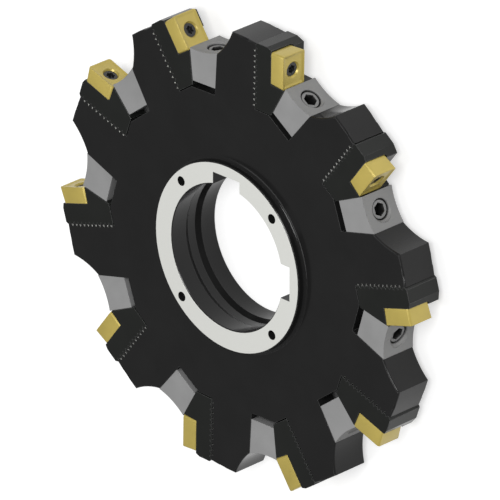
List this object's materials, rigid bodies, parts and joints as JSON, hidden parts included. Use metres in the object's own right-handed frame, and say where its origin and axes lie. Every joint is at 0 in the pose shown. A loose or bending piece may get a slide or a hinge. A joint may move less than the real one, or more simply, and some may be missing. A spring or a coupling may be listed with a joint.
{
  "type": "side and face cutter",
  "caption": "Disc-shaped milling cutter with a keyed bore; serrated cartridges carry indexable inserts and are held in rim pockets by screwed wedges.",
  "frame": {"origin": "on the bore axis, in the plane of the hub's far face, which the cutter rests on", "axes": "+Z along the bore axis, out of the face beside which the inserts stand; +X and +Y through the middles of the keyways"},
  "size_m": [0.16, 0.156, 0.0198],
  "materials": {
    "body_steel": "satin black, ground steel on the hub faces",
    "cartridge_steel": "satin black",
    "wedge_steel": "matt grey, fine blasted",
    "coated_carbide": "satin gold-coloured coating",
    "screw_steel": "satin"
  },
  "bodies": {
    "root": {"cutter_body": "body_steel", "cartridge_01": "cartridge_steel", "insert_01": "coated_carbide", "wedge_01": "wedge_steel", "cartridge_02": "cartridge_steel", "insert_02": "coated_carbide", "wedge_02": "wedge_steel", "cartridge_03": "cartridge_steel", "insert_03": "coated_carbide", "wedge_03": "wedge_steel", "cartridge_04": "cartridge_steel", "insert_04": "coated_carbide", "wedge_04": "wedge_steel", "cartridge_05": "cartridge_steel", "insert_05": "coated_carbide", "wedge_05": "wedge_steel", "cartridge_06": "cartridge_steel", "insert_06": "coated_carbide", "wedge_06": "wedge_steel", "cartridge_07": "cartridge_steel", "insert_07": "coated_carbide", "wedge_07": "wedge_steel", "cartridge_08": "cartridge_steel", "insert_08": "coated_carbide", "wedge_08": "wedge_steel", "cartridge_09": "cartridge_steel", "insert_09": "coated_carbide", "wedge_09": "wedge_steel", "cartridge_10": "cartridge_steel", "insert_10": "coated_carbide", "wedge_10": "wedge_steel", "insert_screws": "screw_steel", "wedge_screws": "screw_steel"}
  },
  "joints": []
}
